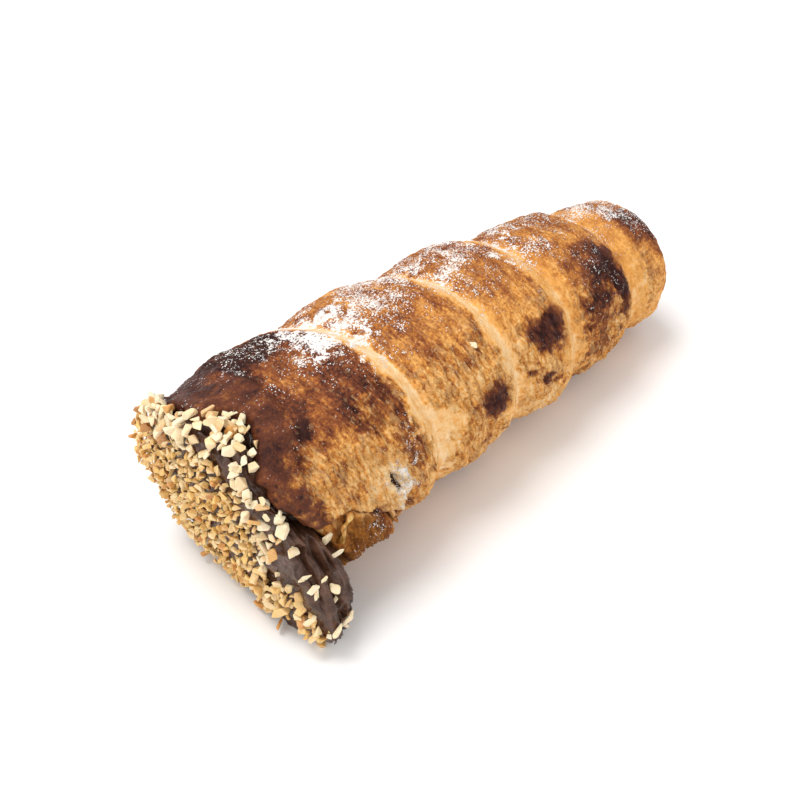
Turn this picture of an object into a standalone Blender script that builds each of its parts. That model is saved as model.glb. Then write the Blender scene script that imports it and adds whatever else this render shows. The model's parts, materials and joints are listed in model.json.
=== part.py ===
"""Cream horn pastry: a strip of flaky dough wound into a horn, baked, filled with
chocolate cream and dipped in chopped nuts at the mouth.

Frame: +X runs from the mouth to the closed tip, +Z is up, the horn lies on z = 0.
Lengths in this file are written in millimetres and turned into metres at the end.
"""
import bpy
import bmesh
import math
import numpy as np
from mathutils import Vector
from mathutils.geometry import delaunay_2d_cdt

MM = 0.001

# ---- driving dimensions (mm, degrees) -------------------------------------------------
BODY_LENGTH = 134.8      # mouth to the start of the round tip
TIP_DEPTH = 9.2          # depth of the round closed tip
MOUTH_RADIUS = 25.0
MIDDLE_RADIUS = 24.5
TIP_RADIUS = 17.6
WALL = 4.2               # thickness of the baked dough
CAVITY_END = 124.0       # the hollow stops here
GAP = 0.3                # clearance between two solids
CREST_RISE = 0.4         # crests of the strip stand this far out of the plain horn
GROOVE_DEPTH = 2.5       # crest to crease, where one turn of the strip meets the next
FLANK = 6.0              # rounded rear edge of each turn
RISE = 13.0              # length over which the next turn climbs out of the crease
# where the crease of the wound strip lies, three stations for each turn:
# at the upper left of the horn, midway, and at the lower right
TURNS = ((30.5, 42.3, 48.0), (61.5, 70.6, 75.0), (89.5, 94.3, 96.5), (119.0, 122.0, 123.5),
         (136.0, 138.0, 139.0))
STRIP_START = 21.0       # the crease begins here, at the lower right of the first turn
UPPER, LOWER = -51.0, 129.0   # the outer two of the lines along the horn that TURNS is measured on
# the mouth edge of the dough: (angle from the top towards -Y, station)
RIM = ((-180, 6.0), (-140, 4.2), (-90, 1.4), (-34, 0.0), (-3, 0.3), (7, 4.3), (18, 6.6),
       (29, 4.4), (45, 0.3), (63, 2.2), (77, 5.3), (84, 8.4), (91, 10.2), (101, 11.2), (113, 12.6),
       (127, 14.0), (141, 13.5), (155, 10.5), (170, 7.0), (180, 6.0))
LIP_CREASE = 0.9         # depth of the shallow fold behind the lip
TONGUE_REACH = 13.6      # the chocolate tongue sticks out this far past the horn
NUT_LAYER = 2.7          # thickness of the coat of chopped nuts
N_ANGLE = 60             # columns round the horn


def smooth(x):
    x = np.clip(x, 0.0, 1.0)
    return x * x * (3 - 2 * x)


def bump(x, centre, half):
    """1 at the centre, 0 at half a width away, round between."""
    return smooth(1 - np.abs(x - centre) / half)


def plain_radius(s):
    """Radius of the horn without its grooves, and of its round tip."""
    t = np.clip(s / BODY_LENGTH, -0.1, 1.0)
    body = (MOUTH_RADIUS * (1 - t) * (1 - 2 * t) + MIDDLE_RADIUS * 4 * t * (1 - t)
            + TIP_RADIUS * t * (2 * t - 1))
    cap = np.clip((s - BODY_LENGTH) / TIP_DEPTH, 0.0, 1.0)
    return np.where(s > BODY_LENGTH, TIP_RADIUS * np.sqrt(1 - cap ** 2), body)


def axis_height(s):
    """The horn lies on the table, so its axis sinks as it narrows."""
    return plain_radius(np.minimum(s, BODY_LENGTH))


def crease_station(theta):
    """Station of the crease at a winding angle that grows turn by turn."""
    angles, stations = [LOWER - 360.0], [STRIP_START]
    for n, turn in enumerate(TURNS):
        angles += [UPPER + 360.0 * n, (UPPER + LOWER) / 2 + 360.0 * n, LOWER + 360.0 * n]
        stations += turn
    total = 0.0
    for shift in (-40, -20, 0, 20, 40):
        total = total + np.interp(theta + shift, angles, stations)
    return total / 5


THETA_FIRST = LOWER - 360.0
THETA_LAST = LOWER + 360.0 * (len(TURNS) - 1)


def crease_depth(theta):
    """The crease starts shallow under the loose strip end and dies out on the tip."""
    return GROOVE_DEPTH * smooth((theta - THETA_FIRST) / 70) * smooth((THETA_LAST - 90 - theta) / 200)


def rim_station(angle):
    a = (np.asarray(angle, float) + 180) % 360 - 180
    return np.interp(a, [p[0] for p in RIM], [p[1] for p in RIM])


def groove(x):
    """Shape of one crease: a rounded flank in front, a long gentle climb behind."""
    front = 0.5 + 0.5 * np.cos(np.pi * np.clip(-x / FLANK, 0, 1) ** 0.85)
    back = 1 - np.sin(np.pi / 2 * np.clip(x / RISE, 0, 1)) ** 0.85
    return np.where(x < 0, front, back)


def dough_radius(s, angle):
    """Outer radius of the baked dough at a station and an angle."""
    a = (np.asarray(angle, float) + 180) % 360 - 180
    s = np.asarray(s, float)
    r = plain_radius(s) + CREST_RISE * smooth((BODY_LENGTH + 2 - s) / 12)
    fade = smooth((BODY_LENGTH + 4 - s) / 14)
    for n in range(-1, len(TURNS)):
        theta = a + 360.0 * n
        r = r - fade * crease_depth(theta) * groove(s - crease_station(theta)) * (theta > THETA_FIRST)
    # shallow fold behind the lip, on the upper side only
    fold = 13.6 - 2.4 * smooth((-8 - a) / 40)
    r = r - LIP_CREASE * bump(s, fold, 2.6) * smooth((a + 60) / 25) * smooth((40 - a) / 25)
    # loose strip end at the lower front: a crease under the torn edge, then a bulge
    tear = np.interp(a, (82, 90, 97, 106, 120, 138, 150), (12.5, 18.5, 23.0, 27.0, 29.0, 24.0, 16.0))
    inside = smooth((tear - s) / 2.5) * smooth((a - 81) / 5) * smooth((162 - a) / 14)
    out = np.interp(a, (82, 89, 96, 104, 112, 124, 138, 150, 162), (-1.3, -1.2, 0.2, 2.0, 3.0, 3.3, 2.2, 0.8, 0.0))
    r = r + inside * out
    # the horn is a little flatter along its upper left, and its lip thinner there
    r = r - 0.9 * bump(a, -55, 85) * fade
    r = r - 1.2 * smooth((17 - s) / 15) * smooth((a + 130) / 60) * smooth((45 - a) / 60)
    # slow unevenness of a hand-wound strip
    r = r + 0.28 * np.sin(np.radians(2 * a + 11 * s)) * smooth(s / 12) * fade
    r = r + 0.22 * np.sin(np.radians(3 * a - 7 * s + 40)) * fade
    return r


def hollow_radius(s):
    """The hollow that the baking form leaves inside the dough."""
    end = np.clip((s - (CAVITY_END - 14)) / 14, 0, 1)
    return (plain_radius(s) - WALL) * np.sqrt(1 - end ** 2)


def place(s, angle, radius):
    a = np.radians(angle)
    x = s
    y = -radius * np.sin(a)
    z = axis_height(s) + radius * np.cos(a)
    return np.stack([x + 0 * y, y, np.maximum(z, 0.0)], axis=-1)


def make_object(name, verts, faces, colour, rough):
    mesh = bpy.data.meshes.new(name)
    mesh.from_pydata([tuple(MM * c for c in v) for v in verts], [], faces)
    bm = bmesh.new()
    bm.from_mesh(mesh)
    bmesh.ops.remove_doubles(bm, verts=bm.verts, dist=2e-6)
    bmesh.ops.dissolve_degenerate(bm, dist=1e-6, edges=bm.edges)
    bmesh.ops.recalc_face_normals(bm, faces=bm.faces)
    bmesh.ops.triangulate(bm, faces=bm.faces)
    if bm.calc_volume(signed=True) < 0:
        bmesh.ops.reverse_faces(bm, faces=bm.faces)
    bm.to_mesh(mesh)
    bm.free()
    ob = bpy.data.objects.new(name, mesh)
    bpy.context.scene.collection.objects.link(ob)
    mat = bpy.data.materials.new(name + "_look")
    mat.use_nodes = True
    shader = mat.node_tree.nodes["Principled BSDF"]
    shader.inputs["Base Color"].default_value = (*colour, 1)
    shader.inputs["Roughness"].default_value = rough
    mat.diffuse_color = (*colour, 1)
    mesh.materials.append(mat)
    return ob


def loft(rings):
    """Closed skin over rings of equal length; a single point closes an end."""
    verts, starts = [], []
    for ring in rings:
        starts.append(len(verts))
        verts += [tuple(p) for p in ring]
    faces = []
    for k in range(len(rings) - 1):
        a, b, na, nb = starts[k], starts[k + 1], len(rings[k]), len(rings[k + 1])
        for i in range(max(na, nb)):
            j = (i + 1) % max(na, nb)
            if na == 1:
                faces.append((a, b + i, b + j))
            elif nb == 1:
                faces.append((a + i, b, a + j))
            else:
                faces.append((a + i, b + i, b + j, a + j))
    return verts, faces


# ---- the baked dough ------------------------------------------------------------------
def dough():
    columns = np.linspace(-180.0, 180.0, N_ANGLE + 1)
    dome = [BODY_LENGTH + TIP_DEPTH * math.sin(math.radians(d)) for d in (14, 34, 54, 72)]
    points, index, edges = [], {}, []

    def add(col, key, s):
        """One point of a named line in a column, left out when it crowds a neighbour."""
        near = [p for p in by_column[col] if abs(p[0] - s) < 0.45]
        if near:
            return
        by_column[col].append((s, key))

    by_column = [[] for _ in columns]
    for c, a in enumerate(columns):
        rim = float(rim_station(a))
        add(c, "rim", rim)
        for k, d in enumerate(dome):
            add(c, "dome%d" % k, d)
        add(c, "end", BODY_LENGTH - 1.5)
        seams = []
        for n in range(-1, len(TURNS)):
            theta = a + 360.0 * n
            if theta > THETA_FIRST + 1e-6:
                s = float(crease_station(theta))
                if rim + 5 < s < BODY_LENGTH - 2.5:
                    seams.append((round(theta, 3), s))
        for theta, s in seams:
            for off in (0.0, -0.6, -2.2, -FLANK, 1.6, 5.0):
                if rim + 1.2 < s + off < BODY_LENGTH - 2.2:
                    add(c, "%s_%s" % (theta, off), s + off)
        marks = [(None, rim - 2.5)] + seams + [(None, BODY_LENGTH + 3)]
        for (t0, s0), (t1, s1) in zip(marks[:-1], marks[1:]):
            lo, hi = s0 + 5.0, s1 - FLANK
            parts = max(1, int(round((hi - lo) / 6.0)))
            for k in range(1, parts):
                s = lo + (hi - lo) * k / parts
                if rim + 1.2 < s < BODY_LENGTH - 2.2:
                    add(c, "%s_m%d_%d" % (t0, k, parts), s)
    for c, a in enumerate(columns):
        for s, key in sorted(by_column[c]):
            index[(c, key)] = len(points)
            points.append((s, a))
    step = columns[1] - columns[0]
    for (c, key), i in index.items():
        if key[0] in "rde":
            j = index.get((c + 1, key))
        else:
            theta, tail = key.split("_", 1)
            if theta == "None":
                j = index.get((c + 1, key))
            else:
                j = index.get((c + 1, "%s_%s" % (round(float(theta) + step, 3), tail)))
        if j is not None:
            edges.append((i, j))
    for c in (0, len(columns) - 1):
        chain = [index[(c, key)] for s, key in sorted(by_column[c])]
        edges += list(zip(chain[:-1], chain[1:]))
    # flat map in which one degree counts as about the same length as on the horn
    flat = [Vector((s, a * 0.42)) for s, a in points]
    out = delaunay_2d_cdt(flat, edges, [], 1, 1e-5)
    coords, tris = out[0], out[2]
    s = np.array([p[0] for p in coords])
    a = np.array([p[1] / 0.42 for p in coords])
    skin = place(s, a, dough_radius(s, a))
    verts = [tuple(v) for v in skin]
    faces = [tuple(t) for t in tris]
    # close the tip with a fan
    last = [i for i in range(len(s)) if abs(s[i] - dome[-1]) < 1e-4]
    last.sort(key=lambda i: a[i])
    pole = len(verts)
    verts.append((BODY_LENGTH + TIP_DEPTH, 0.0, float(axis_height(BODY_LENGTH))))
    faces += [(i, j, pole) for i, j in zip(last[:-1], last[1:])]
    # the rim: a rounded nose, then the wall of the hollow down to its round end
    cols = columns[:-1]
    rim = rim_station(cols)
    outer = dough_radius(rim, cols)
    inner = hollow_radius(rim)
    rings = [place(rim, cols, outer),
             place(rim - 0.6, cols, outer * 0.8 + inner * 0.2),
             place(rim - 0.6, cols, outer * 0.2 + inner * 0.8),
             place(rim, cols, inner)]
    for k in range(1, 8):
        st = rim + (CAVITY_END - 14 - rim) * k / 7
        rings.append(place(st, cols, hollow_radius(st)))
    for d in (30, 55, 75):
        st = CAVITY_END - 14 + 14 * math.sin(math.radians(d)) + 0 * cols
        rings.append(place(st, cols, hollow_radius(st)))
    rings.append([(CAVITY_END, 0.0, float(axis_height(CAVITY_END)))])
    v2, f2 = loft(rings)
    shift = len(verts)
    verts += v2
    faces += [tuple(i + shift for i in f) for f in f2]
    return make_object("dough_horn", verts, faces, (0.42, 0.20, 0.07), 0.6)


# ---- the chocolate filling ------------------------------------------------------------
FACE = -1.3              # station of the chocolate's front, just inside the coat of nuts
LEAN = 5.2               # the foot of the front stands this much further back than its top


def face_station(angle, share):
    """Front of the filling: leans back towards its foot and domes a little in the middle."""
    height = MOUTH_RADIUS * (1 + share * np.cos(np.radians(angle)))
    lean = LEAN * np.clip(1 - height / (2 * MOUTH_RADIUS), 0, 1) ** 1.5
    return FACE + lean - 1.0 * (1 - share ** 2)


def tongue(angle, s):
    """How far the chocolate runs out over the table at the lower right of the mouth."""
    a = (np.asarray(angle, float) + 180) % 360 - 180
    across = smooth((a - 74) / 50) * smooth((170 - a) / 34)
    along = smooth((13.8 - s) / 5.5)
    return TONGUE_REACH * across * along


def choc_edge(angle, s):
    """Radius of the filling outside the dough."""
    a = (np.asarray(angle, float) + 180) % 360 - 180
    open_side = smooth((rim_station(a) - 0.6) / 2.0) * smooth((a - 38) / 8)
    return hollow_radius(s) - GAP + (WALL - 0.9) * open_side + tongue(a, s)


def chocolate():
    cols = np.linspace(-180, 180, 48, endpoint=False)
    rim = rim_station(cols)
    rings = [[(CAVITY_END - 1.2, 0.0, float(axis_height(CAVITY_END)))]]
    for d in (72, 48):
        st = CAVITY_END - 14 + 14 * math.sin(math.radians(d)) - 1.0 + 0 * cols
        rings.append(place(st, cols, hollow_radius(st) - GAP * 1.6))
    for k in range(5, 0, -1):
        st = rim + 3 + (CAVITY_END - 18 - rim) * k / 5
        rings.append(place(st, cols, hollow_radius(st) - GAP))
    # step out of the dough, then the run-out part, down to the front
    st = np.maximum(rim - 1.1, face_station(cols, 1.0))
    rings.append(place(st, cols, hollow_radius(st) - GAP))
    front = face_station(cols, 1.0)
    for f in (0.04, 0.25, 0.6, 0.9):
        sk = st + (front - st) * f
        rings.append(place(sk, cols, choc_edge(cols, sk)))
    edge = choc_edge(cols, front)
    for share in (0.96, 0.85, 0.65, 0.4, 0.2):
        sk = face_station(cols, share)
        rings.append(place(sk, cols, edge * share))
    rings.append([(float(face_station(0.0, 0.0)), 0.0, MOUTH_RADIUS)])
    verts, faces = loft(rings)
    return make_object("chocolate_filling", verts, faces, (0.045, 0.018, 0.010), 0.35)


# ---- the coat of chopped nuts ---------------------------------------------------------
def nut_reach(angle):
    """Outline of the coat on the front: full on the left, drawn in on the right."""
    a = (np.asarray(angle, float) + 180) % 360 - 180
    drawn = 1 - 0.30 * smooth((a - 34) / 20) * smooth((112 - a) / 24)
    spread = tongue(a, 2.0) * 1.02
    uneven = 0.5 * np.sin(np.radians(7 * a)) + 0.4 * np.sin(np.radians(11 * a + 60))
    return (MOUTH_RADIUS - 0.5 + spread) * drawn + uneven


def nut_back(angle, radius):
    """Inner side of the coat, clear of the front of the filling."""
    return face_station(angle, np.minimum(radius / choc_edge(angle, 0 * angle), 1.0)) - 2 * GAP


def nuts():
    cols = np.linspace(-180, 180, 54, endpoint=False)
    reach = nut_reach(cols)
    k = np.arange(len(cols))
    # where the dough's lip stands round the coat, the coat reaches back to it
    covered = smooth((40 - cols) / 6) * smooth((cols + 182) / 4)
    nose = rim_station(cols) - 0.6 - GAP
    wall_in = hollow_radius(nose) + 0.15
    inner = np.where(covered > 0.5, np.minimum(wall_in, reach * 0.9), reach * 0.9)
    skirt = np.where(covered > 0.5, nose, nut_back(cols, reach))

    def lumps(j, size):
        return size * np.sin(2.4 * k + 1.7 * j) * np.cos(1.1 * k - 0.9 * j)

    rings = [[(float(nut_back(np.float64(0), np.float64(0))), 0.0, MOUTH_RADIUS)]]
    for share in (0.35, 0.7, 0.97):
        rings.append(place(nut_back(cols, inner * share), cols, inner * share))
    rings.append(place(np.where(covered > 0.5, skirt, nut_back(cols, inner)), cols, inner))
    rings.append(place(skirt, cols, reach))
    mid = nut_back(cols, reach)
    rings.append(place(mid * 0.45 + skirt * 0.55 - 0.3 * NUT_LAYER + lumps(0, 0.2), cols, reach + 0.35))
    rings.append(place(mid - 0.75 * NUT_LAYER + lumps(1, 0.3), cols, reach * 0.975))
    for j, share in enumerate((0.88, 0.7, 0.5, 0.3, 0.14)):
        r = reach * share
        rings.append(place(nut_back(cols, r) - NUT_LAYER + lumps(j, 0.45), cols, r))
    rings.append([(float(nut_back(np.float64(0), np.float64(0))) - NUT_LAYER, 0.0, MOUTH_RADIUS)])
    verts, faces = loft(rings)
    return make_object("nut_coating", verts, faces, (0.62, 0.45, 0.24), 0.7)


for ob in list(bpy.data.objects):
    bpy.data.objects.remove(ob, do_unlink=True)

parts = [dough(), chocolate(), nuts()]

# put the middle of the bounding box on the origin in X and Y, the lowest point on z = 0
low = [min(v.co[i] for ob in parts for v in ob.data.vertices) for i in range(3)]
high = [max(v.co[i] for ob in parts for v in ob.data.vertices) for i in range(3)]
shift = Vector((-(low[0] + high[0]) / 2, -(low[1] + high[1]) / 2, -low[2]))
for ob in parts:
    for v in ob.data.vertices:
        v.co += shift
    print(ob.name, len(ob.data.polygons), "triangles")
print("size mm", [round((h - l) * 1000, 2) for l, h in zip(low, high)], "shift mm", [round(c * 1000, 3) for c in shift])
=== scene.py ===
# %% [markdown]
# # A cream horn
# A strip of flaky dough is wound round a form, baked, filled with chocolate cream and dipped in chopped nuts.
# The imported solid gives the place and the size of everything. The looks are built round it here, piece by
# piece: the baked crust, the chocolate, the nuts and the sugar.

# %% Load the fixed frame
import json
import math
import bmesh
import bpy
import numpy as np
from mathutils import Matrix, Vector
from mathutils.bvhtree import BVHTree

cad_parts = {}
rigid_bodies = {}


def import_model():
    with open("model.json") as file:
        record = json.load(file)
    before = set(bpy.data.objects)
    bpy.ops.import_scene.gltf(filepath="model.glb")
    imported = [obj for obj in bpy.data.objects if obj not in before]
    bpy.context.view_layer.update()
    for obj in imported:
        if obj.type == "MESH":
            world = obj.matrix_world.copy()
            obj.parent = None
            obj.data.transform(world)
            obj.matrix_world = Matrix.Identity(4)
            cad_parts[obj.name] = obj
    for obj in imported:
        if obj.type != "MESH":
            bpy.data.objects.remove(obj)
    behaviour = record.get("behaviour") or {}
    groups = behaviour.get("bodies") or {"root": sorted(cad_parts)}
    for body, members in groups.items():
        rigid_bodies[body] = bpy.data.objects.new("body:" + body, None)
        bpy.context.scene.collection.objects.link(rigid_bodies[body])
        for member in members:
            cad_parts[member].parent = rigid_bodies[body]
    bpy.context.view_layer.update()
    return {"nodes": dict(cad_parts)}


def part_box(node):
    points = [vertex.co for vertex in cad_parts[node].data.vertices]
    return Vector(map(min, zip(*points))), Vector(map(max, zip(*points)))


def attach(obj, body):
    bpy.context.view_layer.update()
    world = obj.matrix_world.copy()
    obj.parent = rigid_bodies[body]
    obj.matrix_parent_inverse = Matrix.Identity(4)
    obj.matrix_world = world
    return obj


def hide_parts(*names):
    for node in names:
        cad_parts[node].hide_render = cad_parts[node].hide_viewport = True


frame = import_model()
scene = bpy.context.scene
MM = 0.001
print("nodes:", sorted(frame["nodes"]))

# %% [markdown]
# ## The rule of the horn
# Every piece follows the same few sizes: a station s along the horn, measured from the mouth in millimetres,
# and an angle round it, measured in degrees from the top towards -Y. One rule turns both into a radius. The
# crease, where one turn of the strip meets the next, is a line whose station grows with the winding angle.

# %% Sizes of the horn
BODY_LENGTH = 134.8      # mouth to the start of the round tip
TIP_DEPTH = 9.2
MOUTH_RADIUS = 25.0
MIDDLE_RADIUS = 24.5
TIP_RADIUS = 17.6
WALL = 4.2               # thickness of the baked dough
CAVITY_END = 124.0
CAVITY_ROUND = 14.0      # the end of the hollow is rounded over this length
GROOVE_DEPTH = 2.5
FLANK = 6.0              # rounded rear edge of each turn
RISE = 13.0              # the next turn climbs out of the crease over this length
STRIP_START = 21.0
STRIP_RADIUS = 22.0      # turns an angle into a length along the strip
UPPER, LOWER = -51.0, 129.0

# For each turn, the stations where its crease passes UPPER, the middle and LOWER.
TURNS = ((30.5, 42.3, 48.0), (61.5, 70.6, 75.0), (89.5, 94.3, 96.5), (119.0, 122.0, 123.5),
         (136.0, 138.0, 139.0))
THETA_FIRST = LOWER - 360.0
THETA_LAST = LOWER + 360.0 * (len(TURNS) - 1)

# The rim of the mouth: (angle, station).
RIM = ((-180, 6.0), (-140, 4.2), (-90, 1.4), (-34, 0.0), (-3, 0.3), (7, 4.3), (18, 6.6),
       (29, 4.4), (45, 0.3), (63, 2.2), (77, 5.3), (84, 8.4), (91, 10.2), (101, 11.8), (113, 15.2),
       (127, 16.6), (141, 15.0), (155, 10.8), (170, 7.0), (180, 6.0))

# The loose end of the strip: (angle, station of its torn edge) and (angle, how far it bulges).
TEAR = ((82, 12.5), (90, 18.5), (97, 23.0), (106, 27.0), (120, 29.0), (138, 24.0), (150, 16.0))
FLAP = ((82, -1.3), (89, -1.2), (96, 0.4), (104, 2.0), (112, 2.4), (124, 1.9), (138, 1.0), (150, 0.3),
        (162, 0.0))


# %% Soft steps
def smooth(x):
    x = np.clip(x, 0.0, 1.0)
    return x * x * (3 - 2 * x)


def rising(x, start, width):
    """Climbs from 0 at start to 1 at start + width."""
    return smooth((x - start) / width)


def falling(x, end, width):
    """Falls from 1 at end - width to 0 at end."""
    return smooth((end - x) / width)


def hump(x, centre, half):
    """1 at the centre, 0 from half away on."""
    return smooth(1 - np.abs(x - centre) / half)


def read_off(points, x):
    """The value at x on the line through a list of points."""
    return np.interp(x, *zip(*points))


def turn_angle(angle):
    """The same angle between -180 and 180."""
    return (np.asarray(angle, float) + 180) % 360 - 180


# %% From a station and an angle to a radius
def plain_radius(s):
    t = np.clip(s / BODY_LENGTH, -0.1, 1.0)
    body = (MOUTH_RADIUS * (1 - t) * (1 - 2 * t) + MIDDLE_RADIUS * 4 * t * (1 - t)
            + TIP_RADIUS * t * (2 * t - 1))
    cap = np.clip((s - BODY_LENGTH) / TIP_DEPTH, 0.0, 1.0)
    return np.where(s > BODY_LENGTH, TIP_RADIUS * np.sqrt(1 - cap ** 2), body)


def axis_height(s):
    return plain_radius(np.minimum(s, BODY_LENGTH))


def crease_station(theta):
    angles, stations = [THETA_FIRST], [STRIP_START]
    for n, turn in enumerate(TURNS):
        angles += [UPPER + 360.0 * n, (UPPER + LOWER) / 2 + 360.0 * n, LOWER + 360.0 * n]
        stations += turn
    total = 0.0
    for shift in (-40, -20, 0, 20, 40):
        total = total + np.interp(theta + shift, angles, stations)
    return total / 5


def crease_depth(theta):
    start = smooth((theta - THETA_FIRST) / 70)
    return GROOVE_DEPTH * start * smooth((THETA_LAST - 90 - theta) / 200)


def rim_station(angle):
    return read_off(RIM, turn_angle(angle))


def groove(x):
    front = 0.5 + 0.5 * np.cos(np.pi * np.clip(-x / FLANK, 0, 1) ** 0.85)
    back = 1 - np.sin(np.pi / 2 * np.clip(x / RISE, 0, 1)) ** 0.85
    return np.where(x < 0, front, back)


def loose_end(s, a, ragged=0.0, edge=2.5):
    """The end of the strip at the lower front: how far a spot lies inside it, and how far it bulges."""
    tear = read_off(TEAR, a) + ragged
    inside = smooth((tear - s) / edge) * rising(a, 81, 5) * falling(a, 162, 14)
    return inside, read_off(FLAP, a)


def dough_radius(s, angle, ragged=0.0, edge=2.5):
    """The outside of the horn: the plain form, its creases, the fold at the lip and the loose end."""
    a = turn_angle(angle)
    fade = smooth((BODY_LENGTH + 4 - s) / 14)
    r = plain_radius(s) + 0.4 * smooth((BODY_LENGTH + 2 - s) / 12)
    for n in range(-1, len(TURNS)):
        theta = a + 360.0 * n
        r = r - fade * crease_depth(theta) * groove(s - crease_station(theta)) * (theta > THETA_FIRST)
    fold = 13.6 - 2.4 * falling(a, -8, 40)
    r = r - 0.9 * hump(s, fold, 2.6) * rising(a, -60, 25) * falling(a, 40, 25)
    share, out = loose_end(s, a, ragged, edge)
    r = r + share * out
    r = r - 0.9 * hump(a, -55, 85) * fade
    r = r - 1.2 * falling(s, 17, 15) * rising(a, -130, 60) * falling(a, 45, 60)
    r = r + 0.28 * np.sin(np.radians(2 * a + 11 * s)) * smooth(s / 12) * fade
    return r + 0.22 * np.sin(np.radians(3 * a - 7 * s + 40)) * fade


def hollow_radius(s):
    end = np.clip((s - (CAVITY_END - CAVITY_ROUND)) / CAVITY_ROUND, 0, 1)
    return (plain_radius(s) - WALL) * np.sqrt(1 - end ** 2)


def place(s, angle, radius):
    """The point at a station, an angle and a radius, in mm, never under the table."""
    a = np.radians(angle)
    z = axis_height(s) + radius * np.cos(a)
    return np.stack([s + 0 * a, -radius * np.sin(a), np.maximum(z, 0.0)], axis=-1)


# %% Where station 0 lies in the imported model
dough_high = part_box("dough_horn")[1]
probe_s, probe_a = np.meshgrid(np.linspace(1, 140, 280), np.arange(-180, 180, 3.0))
probe = place(probe_s, probe_a, dough_radius(probe_s, probe_a))
SHIFT = np.array([dough_high[0] / MM - BODY_LENGTH - TIP_DEPTH,
                  dough_high[1] / MM - probe[..., 1].max(), 0.0])
print("station 0 is at x =", round(SHIFT[0], 2), "mm, the axis at y =", round(SHIFT[1], 2), "mm")

# %% [markdown]
# ## Seeded noise
# Baking is uneven at every scale. A small lattice noise in numpy gives lumps for the meshes and patches for
# the browning. It is seeded, so every run makes the same horn. Along the strip the dough is stretched, so
# the same noise is also read on coordinates that follow the winding.

# %% Lattice noise
LATTICE = 64
FAR = 60.0               # stands for no crease at all


def lattice_noise(points, seed, octaves=1):
    """Values from about -1 to 1 at points in cells of one unit."""
    table = np.random.default_rng(seed).uniform(-1, 1, (LATTICE,) * 3)
    total = 0.0
    for k in range(octaves):
        p = points * 2.0 ** k + 17.3 * k
        cell = np.floor(p).astype(int)
        f = p - cell
        f = f * f * (3 - 2 * f)
        value = 0.0
        for corner in range(8):
            d = np.array([(corner >> 2) & 1, (corner >> 1) & 1, corner & 1])
            i = (cell + d) % LATTICE
            w = np.prod(np.where(d == 1, f, 1 - f), axis=-1)
            value = value + w * table[i[..., 0], i[..., 1], i[..., 2]]
        total = total + value * 0.5 ** k
    return total * 1.6


def flat_noise(x, y, layer, seed, octaves):
    """Lattice noise on a plane, such as the strip laid flat."""
    return lattice_noise(np.stack([x, y, 0 * x + layer], -1), seed, octaves)


def winding(s, angle):
    """Winding angle, length along the strip, and distances to the crease ahead and the crease behind."""
    a = turn_angle(angle)
    theta = a + 360.0 * len(TURNS)
    ahead = np.full_like(a + s, FAR)
    behind = np.full_like(a + s, FAR)
    for n in range(len(TURNS) - 1, -2, -1):
        th = a + 360.0 * n
        x = crease_station(th) - s
        real = (th > THETA_FIRST) & (th < THETA_LAST)
        hit = real & (x > 0)
        theta = np.where(hit, th, theta)
        ahead = np.where(hit, np.minimum(x, ahead), ahead)
        behind = np.where(real & (x <= 0), np.minimum(-x, behind), behind)
    return theta, theta * math.pi / 180 * STRIP_RADIUS, ahead, behind


# %% [markdown]
# ## Nodes by plain arithmetic
# Node trees are long to write link by link. One class wraps a socket so that + - * / build Math nodes, and
# one function adds any other node from its settings and the values of its sockets. They serve shader trees
# and geometry trees alike.


# %% Sockets that do arithmetic
class Wire:
    """A socket of a node tree. Arithmetic on wires adds Math nodes."""

    def __init__(self, tree, socket):
        self.tree, self.socket = tree, socket

    def math(self, operation, *others, clamp=False):
        node = self.tree.nodes.new("ShaderNodeMath")
        node.operation, node.use_clamp = operation, clamp
        for slot, value in zip(node.inputs, (self,) + others):
            plug(self.tree, slot, value)
        return Wire(self.tree, node.outputs[0])

    def __add__(self, other):
        return self.math("ADD", other)

    def __sub__(self, other):
        return self.math("SUBTRACT", other)

    def __mul__(self, other):
        return self.math("MULTIPLY", other)

    def __truediv__(self, other):
        return self.math("DIVIDE", other)

    def __rsub__(self, other):
        return (self * -1.0) + other

    __radd__, __rmul__ = __add__, __mul__

    def clamp(self):
        return self.math("ADD", 0.0, clamp=True)

    def step(self, low, high):
        """0 under low, 1 over high, smooth between."""
        node = self.tree.nodes.new("ShaderNodeMapRange")
        node.interpolation_type = "SMOOTHSTEP"
        for key, value in (("Value", self), ("From Min", low), ("From Max", high)):
            plug(self.tree, node.inputs[key], value)
        return Wire(self.tree, node.outputs[0])


def plug(tree, slot, value):
    if isinstance(value, Wire):
        tree.links.new(value.socket, slot)
    elif value is not None:
        slot.default_value = value


def add_node(tree, kind, settings=None, out=0, **sockets):
    """Adds a node: its settings first, then its sockets, named with _ for a space or by number as i0, i1."""
    node = tree.nodes.new(kind)
    for key, value in (settings or {}).items():
        if key == "stops":
            ramp = node.color_ramp
            while len(ramp.elements) < len(value):
                ramp.elements.new(0.5)
            for element, (where, colour) in zip(ramp.elements, value):
                element.position, element.color = where, (*colour, 1)
        else:
            setattr(node, key, value)
    for key, value in sockets.items():
        by_number = key[0] == "i" and key[1:].isdigit()
        plug(tree, node.inputs[int(key[1:]) if by_number else key.replace("_", " ")], value)
    return Wire(tree, node.outputs[out])


def blend_colour(tree, share, a, b):
    """Colour a where share is 0 and b where it is 1."""
    node = tree.nodes.new("ShaderNodeMix")
    node.data_type = "RGBA"
    plug(tree, node.inputs[0], share)
    for slot, value in ((node.inputs[6], a), (node.inputs[7], b)):
        plug(tree, slot, value if isinstance(value, Wire) else (*value, 1))
    return Wire(tree, node.outputs[2])


def new_finish(name):
    """A material with one Principled shader: returns it, its tree and its shader."""
    material = bpy.data.materials.new(name)
    material.use_nodes = True
    return material, material.node_tree, material.node_tree.nodes["Principled BSDF"]


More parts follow.
